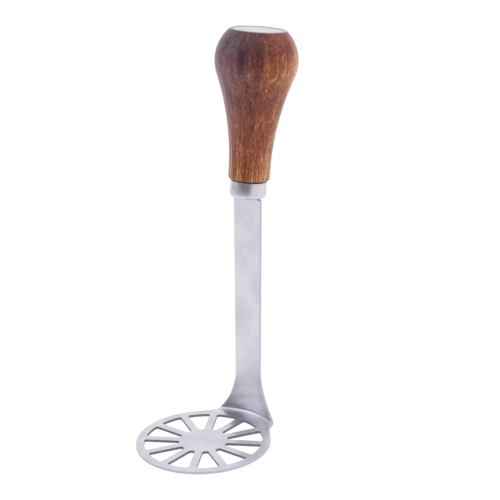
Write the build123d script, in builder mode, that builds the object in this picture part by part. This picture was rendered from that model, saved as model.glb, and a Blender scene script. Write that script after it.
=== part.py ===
from build123d import *
import os
from math import asin, cos, degrees, radians, sin

# Small hand masher: a stamped steel blade, a drawn steel ferrule and a turned
# wooden handle with a steel disc let into its flat end.
# Millimetres, +Z up. The origin is the centre of the round disc's flat
# underside. +Y points from the disc to the shank, and the handle leans that way.

# Overall sizes
overall_height = 150.0
sheet = 1.0
fit_gap = 0.05
seat_gap = 0.2
cut_overrun = 1.0

# Round disc and its openings
disc_radius = 25.0
opening_count = 12
hub_radius = 9.05
rim_width = 3.0
opening_corner = 0.8
spoke_width = 2.8

# Tab, bend and flared neck between the disc and the shank
tab_reach = 1.8
tab_half_angle = 28.8
flare_half_angle = 44.0
bend_radius = 1.2
neck_height = 20.0
neck_blend_height = 20.0
formed_half_angle = 34.0
# Height of each inner neck section, as a share of the neck above the bend
neck_section_share = 0.32, 0.6
# Front of each inner neck section, as a share of the way from bend to shank
neck_front_share = 0.52, 0.82
# Plan curvature of each inner neck section, as a share of the bend's own
neck_curve_share = 0.8, 0.42

# Shank and tang
shank_setback = 2.32
shank_lean = 2.66
shank_foot_width = 11.5
shank_top_width = 12.45
shoulder_height = 87.7
shoulder_bend_radius = 4.0
tang_width = 7.0
tang_length = 32.0
tang_point_chamfer = 1.5

# Ferrule
ferrule_radius = 6.7
ferrule_height = 6.35
ferrule_wall = 0.5
ferrule_chamfer = 1.0

# Wooden handle, turned about its own leaning axis
handle_lean = 8.67
foot_radius = 7.65
foot_chamfer = 0.6
foot_height = 3.15
bulb_radius = 15.15
flat_end_radius = 10.2
flat_end_chamfer = 0.4
bore_radius = 4.0
bore_end_gap = 1.0

# Steel disc in the handle's flat end
cap_radius = 9.2
cap_thickness = 1.0
cap_inset = 0.3


def curved_band(height, front, front_radius, half_width):
    """Cross-section of the sheet at a height, bowed back from the middle of its front face."""
    centre = 0, front - front_radius
    half_angle = degrees(asin(half_width / front_radius))
    with BuildSketch(Plane.XY.offset(height)) as band:
        with BuildLine():
            inner = CenterArc(centre, front_radius, 90 - half_angle, 2 * half_angle)
            outer = CenterArc(centre, front_radius + sheet, 90 - half_angle, 2 * half_angle)
            Line(inner @ 0, outer @ 0)
            Line(inner @ 1, outer @ 1)
        make_face()
    return band.sketch


# The shank is a flat strip that leans back a little from the disc's normal.
shank_direction = Vector(0, sin(radians(shank_lean)), cos(radians(shank_lean)))
shank_foot = Vector(0, disc_radius + shank_setback, neck_height)
shank_reach = (shoulder_height - neck_height) / shank_direction.Z
shoulder = shank_foot + shank_direction * shank_reach
shank_end = shoulder.Z - seat_gap

# The tang, the ferrule and the handle share one axis, which leans back further.
handle_direction = Vector(0, sin(radians(handle_lean)), cos(radians(handle_lean)))
handle_axis = Axis(shoulder, handle_direction)
handle_plane = Plane(origin=shoulder, x_dir=(1, 0, 0), z_dir=handle_direction)
profile_plane = Plane(origin=shoulder, x_dir=(1, 0, 0), z_dir=handle_plane.x_dir.cross(handle_direction))
tang_end = shoulder + handle_direction * tang_length

# Distances along the handle's axis from the ferrule's underside
top_edge_radius = flat_end_radius - flat_end_chamfer
handle_end = (overall_height - shoulder.Z - top_edge_radius * handle_direction.Y) / handle_direction.Z
wood_foot = ferrule_height + seat_gap
spigot_start = ferrule_wall + seat_gap
bulb_centre = handle_end - (bulb_radius**2 - flat_end_radius**2) ** 0.5
hollow_start = wood_foot + foot_height
bore_end = tang_length + bore_end_gap

# The hollow below the bulb is one arc that runs out of the straight foot into the ball.
hollow_reach = bulb_centre - hollow_start
hollow_radius = (foot_radius**2 + hollow_reach**2 - bulb_radius**2) / 2 / (bulb_radius - foot_radius)
hollow_turn = asin(hollow_reach / (hollow_radius + bulb_radius))
hollow_end = bulb_radius * cos(hollow_turn), bulb_centre - bulb_radius * sin(hollow_turn)

# Sizes that several pieces share
bend_start = disc_radius + tab_reach
bend_top = sheet + bend_radius
wall_front = bend_start + bend_radius
tab_half_width = bend_start * sin(radians(tab_half_angle))
formed_half_width = wall_front * sin(radians(formed_half_angle))
spigot_radius = ferrule_radius - ferrule_wall - fit_gap
tang_slot_width = tang_width + 2 * fit_gap
tang_slot_thickness = sheet + 2 * fit_gap
opening_outer_radius = disc_radius - rim_width
half_pitch = 180 / opening_count

# One wedge opening, centred on +X: its sides run parallel to the spokes beside it.
opening_corners = []
for opening_radius in (hub_radius, opening_outer_radius):
    side_angle = half_pitch - degrees(asin(spoke_width / 2 / opening_radius))
    opening_corners.append((opening_radius, side_angle))
with BuildSketch() as wedge_opening:
    with BuildLine():
        inner_end, outer_end = [
            CenterArc((0, 0), radius, -angle, 2 * angle) for radius, angle in opening_corners
        ]
        Line(inner_end @ 0, outer_end @ 0)
        Line(inner_end @ 1, outer_end @ 1)
    make_face()
    fillet(wedge_opening.vertices(), opening_corner)

with BuildPart() as masher_blade:
    # Bend along an arc round the disc, wider than the tab until the outline trims it
    bend_plane = Plane(
        origin=(0, 0, 0),
        x_dir=(sin(radians(formed_half_angle)), cos(radians(formed_half_angle)), 0),
        z_dir=(cos(radians(formed_half_angle)), -sin(radians(formed_half_angle)), 0),
    )
    with BuildSketch(bend_plane):
        with BuildLine():
            inside = CenterArc((bend_start, bend_top), bend_radius, -90, 90)
            outside = CenterArc((bend_start, bend_top), bend_top, -90, 90)
            Line(inside @ 0, outside @ 0)
            Line(inside @ 1, outside @ 1)
        make_face()
    revolve(axis=Axis.Z, revolution_arc=2 * formed_half_angle)
    # Neck that starts curved in plan and ends as flat strip
    add(curved_band(bend_top, wall_front, wall_front, formed_half_width))
    shank_front = shank_foot.Y - sheet / 2
    for height_share, front_share, curve_share in zip(
        neck_section_share, neck_front_share, neck_curve_share
    ):
        section_height = bend_top + height_share * (neck_height - bend_top)
        section_front = wall_front + front_share * (shank_front - wall_front)
        add(curved_band(section_height, section_front, wall_front / curve_share, formed_half_width))
    with BuildSketch(Plane(origin=shank_foot, x_dir=(1, 0, 0), z_dir=shank_direction)):
        Rectangle(2 * formed_half_width, sheet)
    loft()
    # Flat strip up to the shoulder, then the tang along the handle's axis
    with BuildSketch(Plane.YZ):
        with BuildLine():
            FilletPolyline(
                (shank_foot.Y, shank_foot.Z),
                (shoulder.Y, shoulder.Z),
                (tang_end.Y, tang_end.Z),
                radius=shoulder_bend_radius,
            )
        trace(line_width=sheet)
    extrude(amount=formed_half_width, both=True)
    # Outline of the blank, seen from the front
    with BuildSketch(Plane.XZ):
        with BuildLine():
            shank_edge = Line(
                (shank_top_width / 2, shank_end),
                (shank_foot_width / 2, neck_blend_height),
            )
            neck_edge = TangentArc(
                shank_edge @ 1, (tab_half_width, sheet), tangent=shank_edge % 1
            )
            Polyline(neck_edge @ 1, (tab_half_width, 0), (0, 0))
            Polyline(
                shank_edge @ 0,
                (tang_width / 2, shank_end),
                (tang_width / 2, tang_end.Z - tang_point_chamfer),
                (tang_width / 2 - tang_point_chamfer, tang_end.Z + cut_overrun),
                (0, tang_end.Z + cut_overrun),
            )
            mirror(about=Plane.YZ)
        make_face()
    extrude(amount=2 * shoulder.Y, both=True, mode=Mode.INTERSECT)
    # Round disc, flared out to the tab, with its ring of openings
    with BuildSketch():
        with BuildLine():
            rim = CenterArc((0, 0), disc_radius, 90 + flare_half_angle, 360 - 2 * flare_half_angle)
            tab_edge = CenterArc((0, 0), bend_start, 90 - tab_half_angle, 2 * tab_half_angle)
            TangentArc(rim @ 1, tab_edge @ 0, tangent=rim % 1)
            TangentArc(rim @ 0, tab_edge @ 1, tangent=-(rim % 0))
        make_face()
        with PolarLocations(0, opening_count, start_angle=half_pitch):
            add(wedge_opening.sketch, mode=Mode.SUBTRACT)
    extrude(amount=sheet)

with BuildPart() as ferrule:
    with BuildSketch(handle_plane):
        Circle(ferrule_radius)
    extrude(amount=ferrule_height)
    chamfer(ferrule.faces().sort_by(handle_axis)[0].edges(), ferrule_chamfer)
    offset(amount=-ferrule_wall, openings=ferrule.faces().sort_by(handle_axis)[-1])
    with BuildSketch(handle_plane):
        Rectangle(tang_slot_width, tang_slot_thickness)
    extrude(amount=ferrule_wall + cut_overrun, mode=Mode.SUBTRACT)

with BuildPart() as wooden_handle:
    with BuildSketch(profile_plane):
        with BuildLine():
            hollow = TangentArc((foot_radius, hollow_start), hollow_end, tangent=(0, 1))
            ball = TangentArc(hollow @ 1, (flat_end_radius, handle_end), tangent=hollow % 1)
            Polyline(
                ball @ 1,
                (0, handle_end),
                (0, spigot_start),
                (spigot_radius, spigot_start),
                (spigot_radius, wood_foot),
                (foot_radius, wood_foot),
                hollow @ 0,
            )
        make_face()
    revolve(axis=handle_axis)
    spigot_end, foot_face, flat_end = wooden_handle.faces().filter_by(GeomType.PLANE).sort_by(handle_axis)
    chamfer(spigot_end.edges(), ferrule_chamfer)
    chamfer(foot_face.edges().sort_by(SortBy.RADIUS)[-1], foot_chamfer)
    chamfer(flat_end.edges(), flat_end_chamfer)
    with BuildSketch(handle_plane.offset(handle_end)):
        Circle(cap_radius + fit_gap)
    extrude(amount=-(cap_thickness + cap_inset), mode=Mode.SUBTRACT)
    with BuildSketch(handle_plane):
        Circle(bore_radius)
    extrude(amount=bore_end, mode=Mode.SUBTRACT)

with BuildPart() as end_cap:
    with BuildSketch(handle_plane.offset(handle_end - cap_inset)):
        Circle(cap_radius)
    extrude(amount=-cap_thickness)

with BuildPart() as tang_adhesive:
    with BuildSketch(handle_plane.offset(spigot_start)):
        Circle(bore_radius - fit_gap)
    extrude(amount=bore_end - fit_gap - spigot_start)
    with BuildSketch(handle_plane):
        Rectangle(tang_slot_width, tang_slot_thickness)
    extrude(amount=tang_length + fit_gap, mode=Mode.SUBTRACT)

os.makedirs("parts", exist_ok=True)
masher_blade.part.label = "masher_blade"
export_step(masher_blade.part, "parts/masher_blade.step")
ferrule.part.label = "ferrule"
export_step(ferrule.part, "parts/ferrule.step")
wooden_handle.part.label = "wooden_handle"
export_step(wooden_handle.part, "parts/wooden_handle.step")
end_cap.part.label = "end_cap"
export_step(end_cap.part, "parts/end_cap.step")
tang_adhesive.part.label = "tang_adhesive"
export_step(tang_adhesive.part, "parts/tang_adhesive.step")
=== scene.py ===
"""Small hand masher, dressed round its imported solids.

Every object is in metres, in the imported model's frame: the origin is the centre of the round
disc's flat underside, +Z is up, and +Y points from the disc to the shank. Lengths are written
in millimetres and angles in degrees, and both are converted where they are used. An azimuth is
counted from -Y towards +X.
"""

import logging
from abc import ABC, abstractmethod
from dataclasses import dataclass
from enum import Enum
from math import asin, cos, pi, radians, sin, sqrt
from typing import Any, ClassVar, Mapping, Sequence

import bmesh
import bpy
from mathutils import Euler, Matrix, Vector

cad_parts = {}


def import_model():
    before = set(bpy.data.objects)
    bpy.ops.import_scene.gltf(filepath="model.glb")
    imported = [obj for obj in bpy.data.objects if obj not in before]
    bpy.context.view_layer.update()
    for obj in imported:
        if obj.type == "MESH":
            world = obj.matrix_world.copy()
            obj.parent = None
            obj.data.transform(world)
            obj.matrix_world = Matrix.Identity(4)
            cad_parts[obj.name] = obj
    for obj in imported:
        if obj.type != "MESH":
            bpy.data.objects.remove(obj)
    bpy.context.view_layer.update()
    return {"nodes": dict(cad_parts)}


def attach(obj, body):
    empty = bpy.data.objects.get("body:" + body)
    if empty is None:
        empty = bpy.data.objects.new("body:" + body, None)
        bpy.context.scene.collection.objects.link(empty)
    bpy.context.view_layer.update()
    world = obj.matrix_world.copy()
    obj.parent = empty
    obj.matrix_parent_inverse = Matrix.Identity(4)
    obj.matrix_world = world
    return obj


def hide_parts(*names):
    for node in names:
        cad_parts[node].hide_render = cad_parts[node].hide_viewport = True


LOG = logging.getLogger("masher")
MM = 0.001
WHITE = "#FFFFFF"

# Facets round a turned piece, the turn in degrees that makes an edge a corner, the gap in
# millimetres between corners that are merged, and how near a corner lies to its ring.
TURNING_STEPS = 144
CORNER_ANGLE = 60.0
SEAM_GAP = 1e-4
RING_WITHIN = 0.01

# Most of a noise's strength lies in this span.
NOISE_SPAN = (0.3, 0.7)

# Sockets of a Mix node that mixes colours. They share their names with its other sockets.
MIX_SHARE, MIX_FIRST, MIX_SECOND, MIX_RESULT = 0, 6, 7, 2

Profile = list[tuple[float, float]]
Socket = bpy.types.NodeSocket


class Shown(Enum):
    """Kinds of ray that see a backdrop as plain white."""

    CAMERA = "Is Camera Ray"
    GLOSSY = "Is Glossy Ray"
    TRANSMISSION = "Is Transmission Ray"


def linear(colour: str) -> tuple[float, float, float, float]:
    """Turn an sRGB hex colour into the linear values that a shader takes.

    Args:
        colour: Six hex digits after a hash sign.

    Returns:
        Linear red, green and blue, and an alpha of one.
    """
    channels = [int(colour[start:start + 2], 16) / 255 for start in (1, 3, 5)]
    toned = [c / 12.92 if c <= 0.04045 else ((c + 0.055) / 1.055) ** 2.4 for c in channels]
    return toned[0], toned[1], toned[2], 1.0


def per_metre(spacing: float) -> float:
    """Turn the spacing of a pattern into its scale.

    Args:
        spacing: Distance between repeats in millimetres.

    Returns:
        Repeats a metre.
    """
    return 1 / (spacing * MM)


def towards(azimuth: float, elevation: float = 0.0) -> Vector:
    """Return the direction from the object to a place in the studio.

    Args:
        azimuth: Angle round the object.
        elevation: Angle above the table.

    Returns:
        A vector of length one.
    """
    turn, rise = radians(azimuth), radians(elevation)
    return Vector((sin(turn) * cos(rise), -cos(turn) * cos(rise), sin(rise)))


def add_node(tree: bpy.types.NodeTree, kind: str, inputs: Mapping[str | int, Any] | None = None,
             **settings: Any) -> bpy.types.Node:
    """Add one node, set its options and fill or link its inputs.

    Args:
        tree: Node tree that gets the node.
        kind: Blender's name for the kind of node.
        inputs: Values or output sockets, keyed by the input's name or number.
        **settings: Options of the node itself.

    Returns:
        The new node.
    """
    node = tree.nodes.new(kind)
    for name, value in settings.items():
        setattr(node, name, value)
    for key, value in (inputs or {}).items():
        if isinstance(value, Socket):
            tree.links.new(value, node.inputs[key])
        else:
            node.inputs[key].default_value = value
    return node


def new_material(name: str) -> tuple[bpy.types.Material, bpy.types.NodeTree]:
    """Make a material with an empty node tree.

    Args:
        name: Name of the material.

    Returns:
        The material and its node tree.
    """
    material = bpy.data.materials.new(name)
    material.use_nodes = True
    material.node_tree.nodes.clear()
    return material, material.node_tree


def set_ramp(node: bpy.types.Node, stops: Sequence[tuple[float, str]]) -> None:
    """Give a colour ramp its stops.

    Args:
        node: Colour ramp node.
        stops: Place from nought to one and sRGB hex colour of each stop, in order.
    """
    elements = node.color_ramp.elements
    while len(elements) < len(stops):
        elements.new(1.0)
    for element, (place, colour) in zip(elements, stops):
        element.position = place
        element.color = linear(colour)


def drawn_out_noise(tree: bpy.types.NodeTree, place: Socket, width: float, length: float,
                    detail: float, distortion: float = 0.0) -> Socket:
    """Add a noise whose spots are drawn out along the third direction.

    Args:
        tree: Node tree that gets the noise.
        place: Coordinates in metres.
        width: Width of a spot.
        length: Length of a spot.
        detail: Number of finer layers.
        distortion: Waviness of the spots' borders.

    Returns:
        The noise's strength.
    """
    stretched = add_node(tree, "ShaderNodeMapping", {
        "Vector": place, "Scale": (per_metre(width), per_metre(width), per_metre(length))})
    return add_node(tree, "ShaderNodeTexNoise", {
        "Vector": stretched.outputs[0], "Scale": 1.0, "Detail": detail, "Roughness": 0.6,
        "Distortion": distortion}).outputs["Fac"]


@dataclass(frozen=True)
class HandleAxis:
    """Leaning axis that the ferrule, the handle and the end disc share.

    Heights along it are measured from the ferrule's underside, whose centre is the shoulder.
    """

    shoulder_y: float = 30.465
    shoulder_z: float = 87.7
    lean: float = 8.67

    def placement(self) -> Matrix:
        """Return the matrix from the axis's own millimetres to the frame's metres."""
        place = Matrix.Translation(Vector((0, self.shoulder_y, self.shoulder_z)) * MM)
        return place @ Matrix.Rotation(-radians(self.lean), 4, "X") @ Matrix.Scale(MM, 4)


@dataclass(frozen=True)
class RoundFit:
    """Sizes that the turned pieces share.

    The end disc lies 0.1 below the wood. The solids set it 0.3 deep, because a step of 0.1 would
    be lost among their facets.
    """

    ferrule_radius: float = 6.7
    ferrule_height: float = 6.35
    ferrule_wall: float = 0.5
    fit_gap: float = 0.05
    seat_gap: float = 0.2
    handle_end: float = 61.53
    cap_radius: float = 9.2
    cap_thickness: float = 1.0
    cap_inset: float = 0.1

    @property
    def wood_foot(self) -> float:
        """Height of the wood's foot, just clear of the ferrule's lip."""
        return self.ferrule_height + self.seat_gap

    @property
    def cap_bottom(self) -> float:
        """Height of the end disc's underside and of the floor that it lies on."""
        return self.handle_end - self.cap_inset - self.cap_thickness


def arc(centre: tuple[float, float], radius: float, start: float, end: float,
        steps: int) -> Profile:
    """Lay evenly spaced points on an arc in a turning profile.

    Args:
        centre: Distance of the arc's centre from the axis, and its height along it.
        radius: Radius of the arc.
        start: Angle of the first point in radians, from the outward direction towards the top.
        end: Angle of the last point in radians.
        steps: Number of chords.

    Returns:
        The points, in order.
    """
    angles = [start + (end - start) * step / steps for step in range(steps + 1)]
    return [(centre[0] + radius * cos(a), centre[1] + radius * sin(a)) for a in angles]


def spin(skin: bmesh.types.BMesh, outline: Sequence[Any], turn: float, steps: int,
         closed: bool) -> None:
    """Spin an outline about the upright axis through the origin.

    Args:
        skin: Mesh that holds the outline.
        outline: Corners and edges of the outline.
        turn: Angle to spin through, in radians.
        steps: Number of facets.
        closed: Whether the last facet joins the first.
    """
    bmesh.ops.spin(skin, geom=list(outline), cent=(0, 0, 0), axis=(0, 0, 1), dvec=(0, 0, 0),
                   angle=turn, steps=steps, use_merge=closed, use_normal_flip=False,
                   use_duplicate=False)


def turned_mesh(profile: Profile) -> bmesh.types.BMesh:
    """Turn a profile about the axis into a closed solid's skin.

    Args:
        profile: Distance from the axis and height of each corner, in order. It starts and ends
            on the axis.

    Returns:
        A new bmesh with merged seams and outward faces.
    """
    skin = bmesh.new()
    corners = [skin.verts.new((radius, 0, height)) for radius, height in profile]
    edges = [skin.edges.new(pair) for pair in zip(corners, corners[1:])]
    spin(skin, corners + edges, 2 * pi, TURNING_STEPS, closed=True)
    bmesh.ops.remove_doubles(skin, verts=skin.verts[:], dist=SEAM_GAP)
    bmesh.ops.recalc_face_normals(skin, faces=skin.faces[:])
    return skin


def soften_edges(skin: bmesh.types.BMesh, edges: Sequence[bmesh.types.BMEdge], width: float,
                 segments: int) -> None:
    """Round edges of a mesh over.

    Args:
        skin: Mesh that holds the edges.
        edges: Edges to round.
        width: Distance of the rounding from each edge, in the mesh's own unit.
        segments: Number of facets across the rounding.
    """
    bmesh.ops.bevel(skin, geom=list(edges), offset=width, offset_type="OFFSET", segments=segments,
                    profile=0.5, affect="EDGES", material=-1, clamp_overlap=True, loop_slide=True)


def sharp_edges(skin: bmesh.types.BMesh, least_angle: float) -> list[bmesh.types.BMEdge]:
    """Find the edges whose two faces turn sharply.

    Args:
        skin: Mesh that is searched.
        least_angle: Turn above which an edge counts.

    Returns:
        The edges, in the mesh's order.
    """
    limit = radians(least_angle)
    return [edge for edge in skin.edges if edge.is_manifold and edge.calc_face_angle() > limit]


def ring_edges(skin: bmesh.types.BMesh, radius: float,
               height: float) -> list[bmesh.types.BMEdge]:
    """Find the edges of one ring of a turned mesh.

    Args:
        skin: Mesh that is searched, upright on its own axis.
        radius: Radius of the ring.
        height: Height of the ring.

    Returns:
        The edges, in the mesh's order.
    """
    return [edge for edge in skin.edges
            if all(abs(vert.co.z - height) < RING_WITHIN
                   and abs(vert.co.xy.length - radius) < RING_WITHIN for vert in edge.verts)]


def cut_walls(skin: bmesh.types.BMesh, least_angle: float) -> list[list[bmesh.types.BMFace]]:
    """Find the walls that a punch left on a sheet, which are all but its two broad skins.

    Args:
        skin: Mesh of the sheet.
        least_angle: Turn at the edge between a broad skin and a cut wall.

    Returns:
        The faces of each wall.
    """
    crisp = set(sharp_edges(skin, least_angle))
    unseen, patches = set(skin.faces), []
    while unseen:
        patch, front = [], [unseen.pop()]
        while front:
            face = front.pop()
            patch.append(face)
            for edge in set(face.edges) - crisp:
                fresh = [other for other in edge.link_faces if other in unseen]
                unseen.difference_update(fresh)
                front.extend(fresh)
        patches.append(patch)
    patches.sort(key=lambda faces: sum(face.calc_area() for face in faces), reverse=True)
    return patches[2:]


def make_object(name: str, skin: bmesh.types.BMesh, materials: Sequence[bpy.types.Material],
                crease_angle: float = 40.0) -> bpy.types.Object:
    """Turn a finished bmesh into an object at the origin.

    Args:
        name: Name of the piece.
        skin: Mesh in place, in metres. It is freed here.
        materials: Finishes, in the order of the faces' material numbers.
        crease_angle: Turn above which an edge stays crisp.

    Returns:
        The object, linked to the scene.
    """
    for face in skin.faces:
        face.smooth = True
    crisp = {edge.index for edge in sharp_edges(skin, crease_angle)}
    for edge in skin.edges:
        edge.smooth = edge.index not in crisp
    mesh = bpy.data.meshes.new(name)
    skin.to_mesh(mesh)
    skin.free()
    for material in materials:
        mesh.materials.append(material)
    piece = bpy.data.objects.new(name, mesh)
    bpy.context.scene.collection.objects.link(piece)
    return piece


def dress(piece: bpy.types.Object, node: str) -> None:
    """Tie a piece to the frame in place of a solid and report it.

    Args:
        piece: Piece that is shown.
        node: Name of the solid that it stands for.
    """
    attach(piece, "root")
    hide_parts(node)
    LOG.info("%s: %d faces, in place of %s", piece.name, len(piece.data.polygons), node)


@dataclass(frozen=True)
class BrushedStainless:
    """Stainless steel, smoothed and then brushed with a fine belt.

    The belt leaves parallel hair lines, so the steel is pale and satin: it mirrors large bright
    and dark areas softly and shows no sharp reflection. Where lines and wide clouds are both
    weak it is a little duller, which mottle_span sets.
    """

    name: str
    colour: str = "#DDDBE2"
    dull_colour: str = "#CCCAD4"
    mottle_span: tuple[float, float] = (0.15, 0.35)
    roughness: float = 0.3
    roughness_spread: float = 0.08
    line_spacing: float = 0.3
    line_length: float = 14.0
    line_depth: float = 0.004
    cloud_size: float = 9.0

    def make(self) -> bpy.types.Material:
        """Make the material.

        The hair lines are drawn coarser than real, so that they show.

        Returns:
            The material.
        """
        material, tree = new_material(self.name)
        place = add_node(tree, "ShaderNodeTexCoord").outputs["Object"]
        lines = drawn_out_noise(tree, place, self.line_spacing, self.line_length, detail=3.0)
        clouds = add_node(tree, "ShaderNodeTexNoise", {
            "Vector": place, "Scale": per_metre(self.cloud_size), "Detail": 2.0})
        mottle = add_node(tree, "ShaderNodeMath", {
            0: lines, 1: clouds.outputs["Fac"]}, operation="MULTIPLY")
        tint = add_node(tree, "ShaderNodeMapRange", {
            "Value": mottle.outputs[0], "From Min": self.mottle_span[0],
            "From Max": self.mottle_span[1]})
        tone = add_node(tree, "ShaderNodeValToRGB", {"Fac": tint.outputs[0]})
        set_ramp(tone, ((0.0, self.dull_colour), (1.0, self.colour)))
        rough = add_node(tree, "ShaderNodeMapRange", {
            "Value": lines, "From Min": NOISE_SPAN[0], "From Max": NOISE_SPAN[1],
            "To Min": self.roughness - self.roughness_spread / 2,
            "To Max": self.roughness + self.roughness_spread / 2})
        grooves = add_node(tree, "ShaderNodeBump", {
            "Height": lines, "Distance": self.line_depth * MM, "Strength": 1.0})
        skin = add_node(tree, "ShaderNodeBsdfPrincipled", {
            "Base Color": tone.outputs[0], "Metallic": 1.0, "Roughness": rough.outputs[0],
            "Normal": grooves.outputs[0]})
        add_node(tree, "ShaderNodeOutputMaterial", {"Surface": skin.outputs[0]})
        return material


@dataclass(frozen=True)
class PunchedStainless:
    """Wall that a punch cut through stainless sheet.

    The upper third is smeared smooth by the punch and the rest is torn, so the wall is dull and
    grey and mirrors only large shapes, faintly. Its default greys are darker than bare steel:
    partly the torn steel's own dullness and partly painted shade, for the shaded underside of the
    disc that the openings' walls mirror. Tumbling the blank makes its outline paler and smoother
    than the openings' walls.
    """

    name: str
    # The default greys are darker than bare steel: partly the torn wall's own dullness and partly
    # painted shade.
    colour: str = "#9C9BA5"
    torn_and_shaded_colour: str = "#6C6B76"
    roughness: float = 0.62
    tear_size: float = 0.35
    tear_depth: float = 0.03

    def make(self) -> bpy.types.Material:
        """Make the material.

        Returns:
            The material.
        """
        material, tree = new_material(self.name)
        place = add_node(tree, "ShaderNodeTexCoord").outputs["Object"]
        tears = add_node(tree, "ShaderNodeTexNoise", {
            "Vector": place, "Scale": per_metre(self.tear_size), "Detail": 4.0, "Roughness": 0.6})
        tone = add_node(tree, "ShaderNodeValToRGB", {"Fac": tears.outputs["Fac"]})
        set_ramp(tone, tuple(zip(NOISE_SPAN, (self.torn_and_shaded_colour, self.colour))))
        relief = add_node(tree, "ShaderNodeBump", {
            "Height": tears.outputs["Fac"], "Distance": self.tear_depth * MM, "Strength": 1.0})
        skin = add_node(tree, "ShaderNodeBsdfPrincipled", {
            "Base Color": tone.outputs[0], "Metallic": 1.0, "Roughness": self.roughness,
            "Normal": relief.outputs[0]})
        add_node(tree, "ShaderNodeOutputMaterial", {"Surface": skin.outputs[0]})
        return material


@dataclass(frozen=True)
class Ramp:
    """Share that changes evenly between two places and is level beyond them.

    Left as it is, the share is one everywhere.
    """

    start: float = 0.0
    end: float = 1.0
    at_start: float = 1.0
    at_end: float = 1.0


@dataclass(frozen=True)
class Zone:
    """Part of the handle that differs from the rest, as strong as one ramp times the other.

    Attributes:
        across: Ramp from the heartwood's side to the sapwood's, counted from the axis.
        height: Ramp up the handle, counted from the ferrule's underside.
    """

    across: Ramp = Ramp()
    height: Ramp = Ramp()


@dataclass(frozen=True)
class Figure:
    """Pattern that the grown wood shows, drawn out along the handle.

    Attributes:
        width: Width of one streak.
        length: Length of one streak.
        detail: Number of finer layers.
        weight: How much it makes the wood paler or darker.
        waviness: Distortion of its borders.
    """

    width: float
    length: float
    detail: float
    weight: float
    waviness: float = 0.0


def summed(tree: bpy.types.NodeTree, apart: bpy.types.Node, zones: Sequence[Zone],
           patterns: Sequence[tuple[Socket, float]] = ()) -> Socket:
    """Add up the strengths of zones and patterns at each place on the handle.

    Args:
        tree: Node tree that gets the sum.
        apart: Node that parts a place into its directions.
        zones: Zones that count in full.
        patterns: Patterns, each with its weight.

    Returns:
        The sum.
    """
    strengths = [
        tuple(add_node(tree, "ShaderNodeMapRange", {
            "Value": apart.outputs[way], "From Min": ramp.start * MM, "From Max": ramp.end * MM,
            "To Min": ramp.at_start, "To Max": ramp.at_end}).outputs[0]
            for way, ramp in (("X", zone.across), ("Z", zone.height)))
        for zone in zones]
    total: Socket | float = 0.0
    for value, weight in (*strengths, *patterns):
        total = add_node(tree, "ShaderNodeMath", {0: value, 1: weight, 2: total},
                         operation="MULTIPLY_ADD").outputs[0]
    return total


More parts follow.
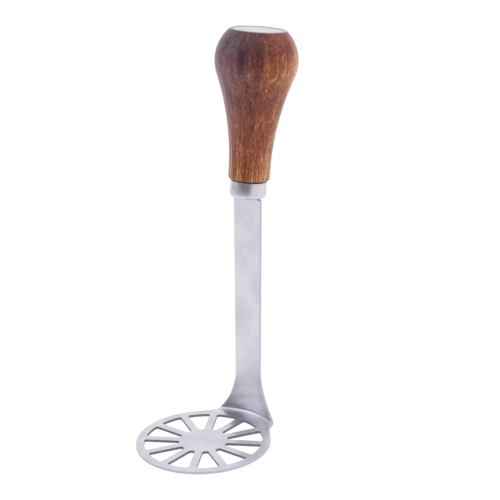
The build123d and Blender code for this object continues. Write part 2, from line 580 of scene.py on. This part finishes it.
@dataclass(frozen=True)
class LacqueredAcacia:
    """Acacia hardwood, turned, sanded along the grain and lacquered.

    The heartwood is reddish brown and pales to orange towards the foot. Its purple near the top,
    on the side seen on the left, is partly its own tone and partly a painted purple-grey sheen of
    the lacquer, and the tan sapwood streak on the other side is partly painted light from the
    right-hand lamps. Fine fibres and flecks run up the handle. The thin lacquer fills the pores,
    so highlights are soft and unbroken. The foot's underside is painted nearly black, painted
    shade in the gap above the ferrule's lip, and the wood ring on the flat end is painted a pale
    purple grey, a painted sheen of the lacquer at a grazing angle.

    Both rows of tones run from the darkest wood to the palest. The pale zones and the figures add
    up to a place in them, and the purple zones to the share of purple. The border of heartwood
    and sapwood faces border_azimuth, towards the camera, so the painted sheen and the painted
    light fall on the sides seen on the left and on the right.
    """

    name: str
    tones: tuple[tuple[float, str], ...] = (
        (0.0, "#43180F"), (0.2, "#5E2516"), (0.4, "#77351D"), (0.6, "#8E4722"),
        (0.8, "#A46233"), (1.0, "#C4936C"))
    purple_tones: tuple[tuple[float, str], ...] = (
        (0.0, "#422635"), (0.3, "#623E4A"), (0.6, "#825B5C"), (1.0, "#A98078"))
    # Painted shade: the foot's underside, in the gap above the ferrule's lip, is painted nearly
    # black.
    painted_gap_shade: str = "#0F0706"
    # Painted sheen: the wood ring on the flat end is painted a pale purple grey, where the
    # lacquer mirrors the white surroundings at a grazing angle.
    painted_rim_sheen: str = "#9C8790"
    # It faces the camera, so the painted sheen falls on the side seen on the left and the painted
    # light on the side seen on the right.
    border_azimuth: float = 40.0
    # Heights of the painted shade under the foot and of the painted sheen on the flat end.
    gap_shade_zone: Zone = Zone(height=Ramp(6.8, 7.2, 1.0, 0.0))
    rim_zone: Zone = Zone(height=Ramp(61.35, 61.45, 0.0, 1.0))
    pale_zones: tuple[Zone, ...] = (
        # The whole handle darkens up to the bulb, and again in the bulb's crown.
        Zone(height=Ramp(8.0, 43.0, -1.24, -1.68)),
        Zone(height=Ramp(49.0, 56.0, 0.0, -0.3)),
        # The side seen on the right is paler: partly a tan streak of sapwood and partly painted
        # light from the right-hand lamps, with a painted highlight on the bulb and a painted rim
        # light at the outermost edge.
        Zone(across=Ramp(0.0, 9.0, 0.0, 0.22)),
        Zone(across=Ramp(-4.0, 4.0, 0.0, 1.0), height=Ramp(36.0, 44.0, 0.0, 0.27)),
        Zone(across=Ramp(10.0, 14.5, 0.0, 0.25)),
        # Towards the left-hand outermost edge it is paler too, a painted sheen of the lacquer at
        # a grazing angle.
        Zone(across=Ramp(-11.0, 0.0, 0.25, 0.0)))
    purple_zones: tuple[Zone, ...] = (
        # Purple on the side seen on the left, fading out towards the foot, is partly the
        # heartwood's own tone and partly a painted purple-grey sheen of the lacquer.
        Zone(across=Ramp(-11.0, 2.0, 0.6, -0.4)),
        Zone(height=Ramp(18.0, 50.0, -0.4, 0.0)),
        # It spreads further round the bulb's crown, where the painted sheen lies at the upper
        # left.
        Zone(across=Ramp(-9.0, -1.0, 1.0, 0.2), height=Ramp(46.0, 56.0, 0.0, 0.35)))
    streaks: Figure = Figure(width=1.7, length=30.0, detail=3.0, weight=1.2, waviness=0.4)
    bands: Figure = Figure(width=8.5, length=30.0, detail=2.0, weight=0.4)
    fibres: Figure = Figure(width=0.55, length=7.0, detail=3.0, weight=1.15)
    flecks: Figure = Figure(width=0.5, length=1.2, detail=2.0, weight=1.0)
    purple_in_bands: float = 0.65
    roughness: float = 0.45
    gloss: float = 0.25
    coat: float = 0.5
    coat_roughness: float = 0.22
    grain_depth: float = 0.015

    def make(self, axis: HandleAxis) -> bpy.types.Material:
        """Make the material, with its grain along the handle's own axis.

        Fibres and flecks are drawn coarser than real, as fine as the render can show.

        Args:
            axis: Axis of the handle.

        Returns:
            The material.
        """
        material, tree = new_material(self.name)
        place = add_node(tree, "ShaderNodeTexCoord").outputs["Object"]
        turn = Euler((radians(axis.lean), 0, -radians(self.border_azimuth)))
        foot = turn.to_matrix() @ Vector((0, axis.shoulder_y, axis.shoulder_z)) * MM
        upright = add_node(tree, "ShaderNodeMapping", {
            "Vector": place, "Rotation": turn, "Location": -foot}).outputs[0]
        apart = add_node(tree, "ShaderNodeSeparateXYZ", {0: upright})
        drawn = {
            figure: drawn_out_noise(tree, upright, figure.width, figure.length, figure.detail,
                                    figure.waviness)
            for figure in (self.streaks, self.bands, self.fibres, self.flecks)}
        paleness = summed(tree, apart, self.pale_zones,
                          [(noise, figure.weight) for figure, noise in drawn.items()])
        purple = summed(tree, apart, self.purple_zones,
                        [(drawn[self.bands], self.purple_in_bands)])
        heartwood = add_node(tree, "ShaderNodeValToRGB", {"Fac": paleness})
        set_ramp(heartwood, self.tones)
        purple_wood = add_node(tree, "ShaderNodeValToRGB", {"Fac": paleness})
        set_ramp(purple_wood, self.purple_tones)
        tone = add_node(tree, "ShaderNodeMix", {
            MIX_SHARE: purple, MIX_FIRST: heartwood.outputs[0],
            MIX_SECOND: purple_wood.outputs[0]}, data_type="RGBA")
        # The foot's band of painted shade, then the flat end's ring of painted sheen.
        for zone, colour in ((self.gap_shade_zone, self.painted_gap_shade),
                             (self.rim_zone, self.painted_rim_sheen)):
            tone = add_node(tree, "ShaderNodeMix", {
                MIX_SHARE: summed(tree, apart, [zone]), MIX_FIRST: tone.outputs[MIX_RESULT],
                MIX_SECOND: linear(colour)}, data_type="RGBA")
        relief = add_node(tree, "ShaderNodeBump", {
            "Height": drawn[self.fibres], "Distance": self.grain_depth * MM, "Strength": 1.0})
        skin = add_node(tree, "ShaderNodeBsdfPrincipled", {
            "Base Color": tone.outputs[MIX_RESULT], "Roughness": self.roughness,
            "Specular IOR Level": self.gloss, "Coat Weight": self.coat,
            "Coat Roughness": self.coat_roughness, "Normal": relief.outputs[0]})
        add_node(tree, "ShaderNodeOutputMaterial", {"Surface": skin.outputs[0]})
        return material


@dataclass(frozen=True)
class CuredEpoxy:
    """Clear two-part epoxy, poured round the tang and cured.

    It is a dull amber solid, and it lies out of sight inside the handle.
    """

    name: str
    colour: str = "#B8A67A"
    cloudy_colour: str = "#A8946A"
    roughness: float = 0.5
    cloud_size: float = 3.0

    def make(self) -> bpy.types.Material:
        """Make the material.

        Returns:
            The material.
        """
        material, tree = new_material(self.name)
        place = add_node(tree, "ShaderNodeTexCoord").outputs["Object"]
        clouds = add_node(tree, "ShaderNodeTexNoise", {
            "Vector": place, "Scale": per_metre(self.cloud_size)})
        tone = add_node(tree, "ShaderNodeValToRGB", {"Fac": clouds.outputs["Fac"]})
        set_ramp(tone, tuple(zip(NOISE_SPAN, (self.cloudy_colour, self.colour))))
        skin = add_node(tree, "ShaderNodeBsdfPrincipled", {
            "Base Color": tone.outputs[0], "Roughness": self.roughness})
        add_node(tree, "ShaderNodeOutputMaterial", {"Surface": skin.outputs[0]})
        return material


@dataclass
class Blade:
    """Stamped and bent steel blade: disc, neck, shank and tang in one sheet.

    The openings end inside opening_reach, and the sheet's outline lies beyond it.
    """

    edge_break: float = 0.12
    break_facets: int = 2
    opening_reach: float = 23.5
    sharp_from: float = 40.0
    crease_angle: float = 21.0
    flat_within: float = 0.6
    weld_gap: float = 0.001

    def build(self, node: bpy.types.Object, sheet: bpy.types.Material,
              outline: bpy.types.Material, cut: bpy.types.Material) -> bpy.types.Object:
        """Copy the solid's skin, break its stamped edges and dress it.

        Args:
            node: The solid that is copied.
            sheet: Finish of the two broad skins.
            outline: Finish of the wall round the sheet's outline.
            cut: Finish of the openings' walls.

        Returns:
            The blade.
        """
        finishes = [sheet, outline, cut]
        skin = bmesh.new()
        skin.from_mesh(node.data)
        bmesh.ops.remove_doubles(skin, verts=skin.verts[:], dist=self.weld_gap * MM)
        bmesh.ops.dissolve_limit(skin, angle_limit=radians(self.flat_within),
                                 use_dissolve_boundaries=False, verts=skin.verts[:],
                                 edges=skin.edges[:], delimit=set())
        for wall in cut_walls(skin, self.sharp_from):
            reach = max(vert.co.xy.length for face in wall for vert in face.verts)
            number = finishes.index(cut if reach < self.opening_reach * MM else outline)
            for face in wall:
                face.material_index = number
        soften_edges(skin, sharp_edges(skin, self.sharp_from), self.edge_break * MM,
                     self.break_facets)
        bmesh.ops.triangulate(skin, faces=[face for face in skin.faces if len(face.verts) > 4])
        piece = make_object("blade_sheet", skin, finishes, self.crease_angle)
        dress(piece, "masher_blade")
        return piece


@dataclass
class TurnedPiece(ABC):
    """Piece that is turned on the handle's own axis.

    Attributes:
        name: Name of the piece.
        node: Name of the solid that it stands for.
        slot: Name of the record's material slot. It is not used.
        axis: Axis of the handle.
        fit: Sizes that the turned pieces share.
        material: Finish of the piece.
    """

    name: ClassVar[str]
    node: ClassVar[str]
    slot: ClassVar[str]
    axis: HandleAxis
    fit: RoundFit
    material: bpy.types.Material

    @abstractmethod
    def shape(self) -> bmesh.types.BMesh:
        """Return the finished mesh, upright on its own axis, in millimetres."""

    def build(self) -> bpy.types.Object:
        """Put the shape in its place and dress it.

        Returns:
            The piece.
        """
        skin = self.shape()
        skin.transform(self.axis.placement())
        piece = make_object(self.name, skin, [self.material])
        dress(piece, self.node)
        return piece


@dataclass
class Ferrule(TurnedPiece):
    """Drawn steel cup between the shank and the wood."""

    name = "ferrule_cup"
    node = "ferrule"
    slot = "ferrule_steel"
    corner_radius: float = 1.6
    outer_chords: int = 10
    inner_chords: int = 8
    lip_break: float = 0.22
    lip_facets: int = 3
    slot_width: float = 7.1
    slot_thickness: float = 1.1
    punch_height: float = 2.0

    def shape(self) -> bmesh.types.BMesh:
        """Turn the cup's wall, break its lip and cut the tang's slot.

        Returns:
            The cup, upright on its own axis, in millimetres.
        """
        outside, wall = self.fit.ferrule_radius, self.fit.ferrule_wall
        top = self.fit.ferrule_height
        centre = (outside - self.corner_radius, self.corner_radius)
        outer = arc(centre, self.corner_radius, -pi / 2, 0, self.outer_chords)
        inner = arc(centre, self.corner_radius - wall, 0, -pi / 2, self.inner_chords)
        lip = [(outside, top), (outside - wall, top)]
        cup = turned_mesh([(0.0, 0.0), *outer, *lip, *inner, (0.0, wall)])
        soften_edges(cup, sharp_edges(cup, CORNER_ANGLE), self.lip_break, self.lip_facets)
        return self.slotted(cup)

    def slotted(self, cup: bmesh.types.BMesh) -> bmesh.types.BMesh:
        """Cut the tang's slot through the cup's floor.

        Args:
            cup: Whole cup. It is freed here.

        Returns:
            The cup with its slot.
        """
        punch = bmesh.new()
        size = (self.slot_width, self.slot_thickness, self.punch_height)
        bmesh.ops.create_cube(punch, size=1, matrix=Matrix.Diagonal((*size, 1)))
        blanks = []
        for name, skin in (("cup_blank", cup), ("slot_punch", punch)):
            mesh = bpy.data.meshes.new(name)
            skin.to_mesh(mesh)
            skin.free()
            blanks.append(bpy.data.objects.new(name, mesh))
            bpy.context.scene.collection.objects.link(blanks[-1])
        blank, cutter = blanks
        cut = blank.modifiers.new("slot", "BOOLEAN")
        cut.operation, cut.solver, cut.object = "DIFFERENCE", "EXACT", cutter
        bpy.context.view_layer.update()
        slotted = bmesh.new()
        slotted.from_object(blank, bpy.context.evaluated_depsgraph_get())
        for spent in blanks:
            mesh = spent.data
            bpy.data.objects.remove(spent)
            bpy.data.meshes.remove(mesh)
        return slotted


@dataclass
class Handle(TurnedPiece):
    """Turned wooden handle with a bulb, a hollow waist and a straight foot."""

    name = "handle_wood_body"
    node = "wooden_handle"
    slot = "handle_wood"
    foot_radius: float = 7.65
    foot_rounding: float = 1.2
    foot_height: float = 3.15
    bulb_radius: float = 15.15
    bulb_chords: int = 34
    hollow_chords: int = 40
    flat_end_radius: float = 10.2
    flat_end_rounding: float = 0.5
    rounding_facets: int = 6
    bore_radius: float = 4.0
    bore_end: float = 33.0
    spigot_chamfer: float = 1.0

    def outline(self) -> Profile:
        """Return the turning profile, from the axis at the flat end round to the bore's end.

        The bulb is one arc, and the hollow is a second one that meets the bulb and the straight
        foot without a corner.
        """
        fit = self.fit
        recess_radius = fit.cap_radius + fit.fit_gap
        bulb_centre = fit.handle_end - sqrt(self.bulb_radius**2 - self.flat_end_radius**2)
        hollow_start = fit.wood_foot + self.foot_height
        reach = bulb_centre - hollow_start
        hollow_radius = ((self.foot_radius**2 + reach**2 - self.bulb_radius**2)
                         / 2 / (self.bulb_radius - self.foot_radius))
        turn = asin(reach / (hollow_radius + self.bulb_radius))
        bulb = arc((0.0, bulb_centre), self.bulb_radius,
                   asin((fit.handle_end - bulb_centre) / self.bulb_radius), -turn,
                   self.bulb_chords)
        hollow = arc((self.foot_radius + hollow_radius, hollow_start), hollow_radius,
                     pi - turn, pi, self.hollow_chords)
        spigot_radius = fit.ferrule_radius - fit.ferrule_wall - fit.fit_gap
        spigot_start = fit.ferrule_wall + fit.seat_gap
        return [
            (0.0, fit.cap_bottom), (recess_radius, fit.cap_bottom),
            (recess_radius, fit.handle_end), *bulb, *hollow[1:],
            (self.foot_radius, fit.wood_foot), (spigot_radius, fit.wood_foot),
            (spigot_radius, spigot_start + self.spigot_chamfer),
            (spigot_radius - self.spigot_chamfer, spigot_start),
            (self.bore_radius, spigot_start), (self.bore_radius, self.bore_end),
            (0.0, self.bore_end),
        ]

    def shape(self) -> bmesh.types.BMesh:
        """Turn the handle and round its two outer edges.

        Returns:
            The handle, upright on its own axis, in millimetres.
        """
        skin = turned_mesh(self.outline())
        for radius, height, width in (
                (self.flat_end_radius, self.fit.handle_end, self.flat_end_rounding),
                (self.foot_radius, self.fit.wood_foot, self.foot_rounding)):
            soften_edges(skin, ring_edges(skin, radius, height), width, self.rounding_facets)
        return skin


@dataclass
class EndCap(TurnedPiece):
    """Steel disc let into the handle's flat end."""

    name = "end_disc"
    node = "end_cap"
    slot = "cap_steel"
    edge_break: float = 0.15
    break_facets: int = 3

    def shape(self) -> bmesh.types.BMesh:
        """Turn the disc and break its rims.

        Returns:
            The disc, upright on its own axis, in millimetres.
        """
        radius, bottom = self.fit.cap_radius, self.fit.cap_bottom
        top = bottom + self.fit.cap_thickness
        skin = turned_mesh([(0.0, top), (radius, top), (radius, bottom), (0.0, bottom)])
        soften_edges(skin, sharp_edges(skin, CORNER_ANGLE), self.edge_break, self.break_facets)
        return skin


@dataclass(frozen=True)
class Viewpoint:
    """Camera at the photograph's viewing angle."""

    position: tuple[float, float, float] = (384.0, -430.0, 292.2)
    yaw: float = 39.807
    pitch: float = 20.591
    roll: float = -1.951
    focal_pixels: float = 1728.72
    frame_pixels: int = 500
    sensor_width: float = 36.0
    nearest: float = 10.0
    farthest: float = 20000.0

    def build(self) -> bpy.types.Object:
        """Make the camera and make it the scene's own.

        Returns:
            The camera.
        """
        yaw, pitch, roll = radians(self.yaw), radians(self.pitch), radians(self.roll)
        forward = Vector((-sin(yaw) * cos(pitch), cos(yaw) * cos(pitch), -sin(pitch)))
        level = Vector((cos(yaw), sin(yaw), 0))
        upright = level.cross(forward)
        right = level * cos(roll) + upright * sin(roll)
        up = upright * cos(roll) - level * sin(roll)
        lens = bpy.data.cameras.new("camera")
        lens.sensor_width = self.sensor_width
        lens.lens = self.focal_pixels * self.sensor_width / self.frame_pixels
        lens.clip_start, lens.clip_end = self.nearest * MM, self.farthest * MM
        camera = bpy.data.objects.new("camera", lens)
        turned = Matrix((right, up, -forward)).transposed().to_4x4()
        camera.matrix_world = Matrix.Translation(Vector(self.position) * MM) @ turned
        bpy.context.scene.collection.objects.link(camera)
        bpy.context.scene.camera = camera
        return camera


@dataclass(frozen=True)
class Lamp:
    """Square soft light aimed at the object.

    Attributes:
        name: Name of the lamp.
        azimuth: Angle round the object.
        elevation: Angle above the table.
        distance: Distance from the object.
        size: Side of the square.
        power: Light that it gives, in watts.
        mirrored: Whether polished surfaces mirror it. Such a lamp is dim enough to keep the
            steel that mirrors it under white.
    """

    name: str
    azimuth: float
    elevation: float
    distance: float
    size: float
    power: float
    mirrored: bool = False

    def build(self, target: Vector) -> bpy.types.Object:
        """Make the lamp.

        Args:
            target: Point that it faces, in metres.

        Returns:
            The lamp's object.
        """
        light = bpy.data.lights.new(self.name, "AREA")
        light.shape = "SQUARE"
        light.size = self.size * MM
        light.energy = self.power
        lamp = bpy.data.objects.new(self.name, light)
        lamp.visible_glossy = self.mirrored
        away = towards(self.azimuth, self.elevation)
        lamp.location = target + away * self.distance * MM
        lamp.rotation_mode = "QUATERNION"
        lamp.rotation_quaternion = away.to_track_quat("Z", "Y")
        bpy.context.scene.collection.objects.link(lamp)
        return lamp


@dataclass(frozen=True)
class RoomSide:
    """Curved wall of the unlit room, which only shows as a soft band in the steel.

    It is painted matt, so it has one even colour. It hangs between two azimuths and two heights.
    """

    name: str
    colour: str
    start: float
    end: float
    bottom: float
    top: float
    radius: float = 700.0
    steps: int = 24

    def build(self) -> None:
        """Spin the wall round the object and hide it from camera, diffuse and shadow rays."""
        material, tree = new_material(self.name + "_paint")
        paint = add_node(tree, "ShaderNodeBsdfDiffuse", {"Color": linear(self.colour)})
        add_node(tree, "ShaderNodeOutputMaterial", {"Surface": paint.outputs[0]})
        skin = bmesh.new()
        foot = towards(self.start) * self.radius * MM
        low, high = (skin.verts.new(foot + Vector((0, 0, height * MM)))
                     for height in (self.bottom, self.top))
        post = skin.edges.new((low, high))
        spin(skin, (low, high, post), radians(self.end - self.start), self.steps, closed=False)
        wall = make_object(self.name, skin, [material])
        wall.visible_camera = False
        wall.visible_diffuse = False
        wall.visible_shadow = False


@dataclass
class Studio:
    """White table, white surroundings, soft lamps and the unlit sides of the room.

    The table's matt paint is even and shows no grain. The rays of Shown see plain white
    surroundings, and a share of the table, table_glow, as a light of strength table_white. All
    other rays see the bare paint, and surroundings of strength ambient. The lamps face target.
    """

    target: tuple[float, float, float] = (0.0, 20.0, 80.0)
    ambient: float = 0.55
    table_side: float = 3000.0
    table_colour: str = "#F4F4F6"
    table_glow: float = 0.86
    table_white: float = 1.08
    # The dark sides and the grey one give the ferrule and the neck their bands. The dim ones hang
    # behind the mirrored softboxes, whose light would else add to the white surroundings.
    sides: tuple[RoomSide, ...] = (
        RoomSide("dark_room_side", "#1D1B23", start=-5, end=60, bottom=5, top=150),
        RoomSide("dark_room_corner", "#1D1B23", start=-85, end=-5, bottom=5, top=70),
        RoomSide("grey_room_side", "#A09EAA", start=-5, end=65, bottom=150, top=700),
        RoomSide("dim_room_corner", "#76747F", start=-38, end=-5, bottom=120, top=1200),
        RoomSide("dim_room_hanging", "#76747F", start=-82, end=-38, bottom=200, top=1200),
        RoomSide("dim_room_end", "#5E5C66", start=95, end=165, bottom=300, top=1200),
    )
    lamps: tuple[Lamp, ...] = (
        Lamp("left_softbox", azimuth=-48, elevation=37, distance=650, size=480, power=0.98,
             mirrored=True),
        Lamp("right_softbox", azimuth=130, elevation=43, distance=680, size=440, power=0.8,
             mirrored=True),
        Lamp("right_fill", azimuth=115, elevation=35, distance=750, size=600, power=1.9),
        Lamp("top_softbox", azimuth=20, elevation=80, distance=750, size=600, power=1.8),
    )

    def white_ray(self, tree: bpy.types.NodeTree) -> Socket:
        """Add a value that is one for the rays of Shown and nought for all others.

        Args:
            tree: Node tree that gets the value.

        Returns:
            The value.
        """
        path = add_node(tree, "ShaderNodeLightPath")
        white: Socket | float = 0.0
        for kind in Shown:
            white = add_node(tree, "ShaderNodeMath", {0: path.outputs[kind.value], 1: white},
                             operation="MAXIMUM").outputs[0]
        return white

    def build_world(self) -> None:
        """Make surroundings that light softly and look plain white."""
        world = bpy.data.worlds.new("studio")
        world.use_nodes = True
        tree = world.node_tree
        tree.nodes.clear()
        level = add_node(tree, "ShaderNodeMapRange", {
            "Value": self.white_ray(tree), "To Min": self.ambient, "To Max": 1.0})
        light = add_node(tree, "ShaderNodeBackground", {
            "Color": linear(WHITE), "Strength": level.outputs[0]})
        add_node(tree, "ShaderNodeOutputWorld", {"Surface": light.outputs[0]})
        bpy.context.scene.world = world

    def build_table(self) -> None:
        """Make the pale table top that the disc stands on."""
        material, tree = new_material("matt_white_table_paint")
        paint = add_node(tree, "ShaderNodeBsdfDiffuse", {"Color": linear(self.table_colour)})
        share = add_node(tree, "ShaderNodeMath", {
            0: self.white_ray(tree), 1: self.table_glow}, operation="MULTIPLY")
        glow = add_node(tree, "ShaderNodeEmission", {
            "Color": linear(WHITE), "Strength": self.table_white})
        both = add_node(tree, "ShaderNodeMixShader", {
            0: share.outputs[0], 1: paint.outputs[0], 2: glow.outputs[0]})
        add_node(tree, "ShaderNodeOutputMaterial", {"Surface": both.outputs[0]})
        top = bmesh.new()
        bmesh.ops.create_grid(top, x_segments=1, y_segments=1, size=self.table_side / 2 * MM)
        table = make_object("table_top", top, [material])

    def build(self) -> None:
        """Build the whole studio."""
        self.build_world()
        self.build_table()
        for side in self.sides:
            side.build()
        for lamp in self.lamps:
            lamp.build(Vector(self.target) * MM)
        bpy.context.scene.view_settings.view_transform = "Standard"
        LOG.info("studio: table, %d room sides and %d lamps", len(self.sides), len(self.lamps))


def main() -> None:
    """Load the frame, set the studio up and dress every solid."""
    logging.basicConfig(level=logging.INFO, format="%(name)s: %(message)s")
    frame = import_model()
    Viewpoint().build()
    Studio().build()
    axis, fit = HandleAxis(), RoundFit()
    sheet = BrushedStainless("brushed_stainless_sheet").make()
    cup = BrushedStainless("fine_turned_stainless_cup", roughness=0.32).make()
    disc = BrushedStainless("fine_satin_stainless_disc").make()
    outline = PunchedStainless("deburred_stainless_edge", colour="#D0CFD8",
                               torn_and_shaded_colour="#B6B5C0", roughness=0.45).make()
    # The openings' walls keep the default greys, which are partly painted shade.
    cut = PunchedStainless("punched_stainless_wall").make()
    wood = LacqueredAcacia("lacquered_acacia").make(axis)
    Blade().build(frame["nodes"]["masher_blade"], sheet, outline, cut)
    Ferrule(axis, fit, cup).build()
    Handle(axis, fit, wood).build()
    EndCap(axis, fit, disc).build()
    glue = frame["nodes"]["tang_adhesive"]
    glue.data.materials.clear()
    glue.data.materials.append(CuredEpoxy("cured_epoxy").make())
    LOG.info("tang_adhesive: kept as packed")


if __name__ == "__main__":
    main()
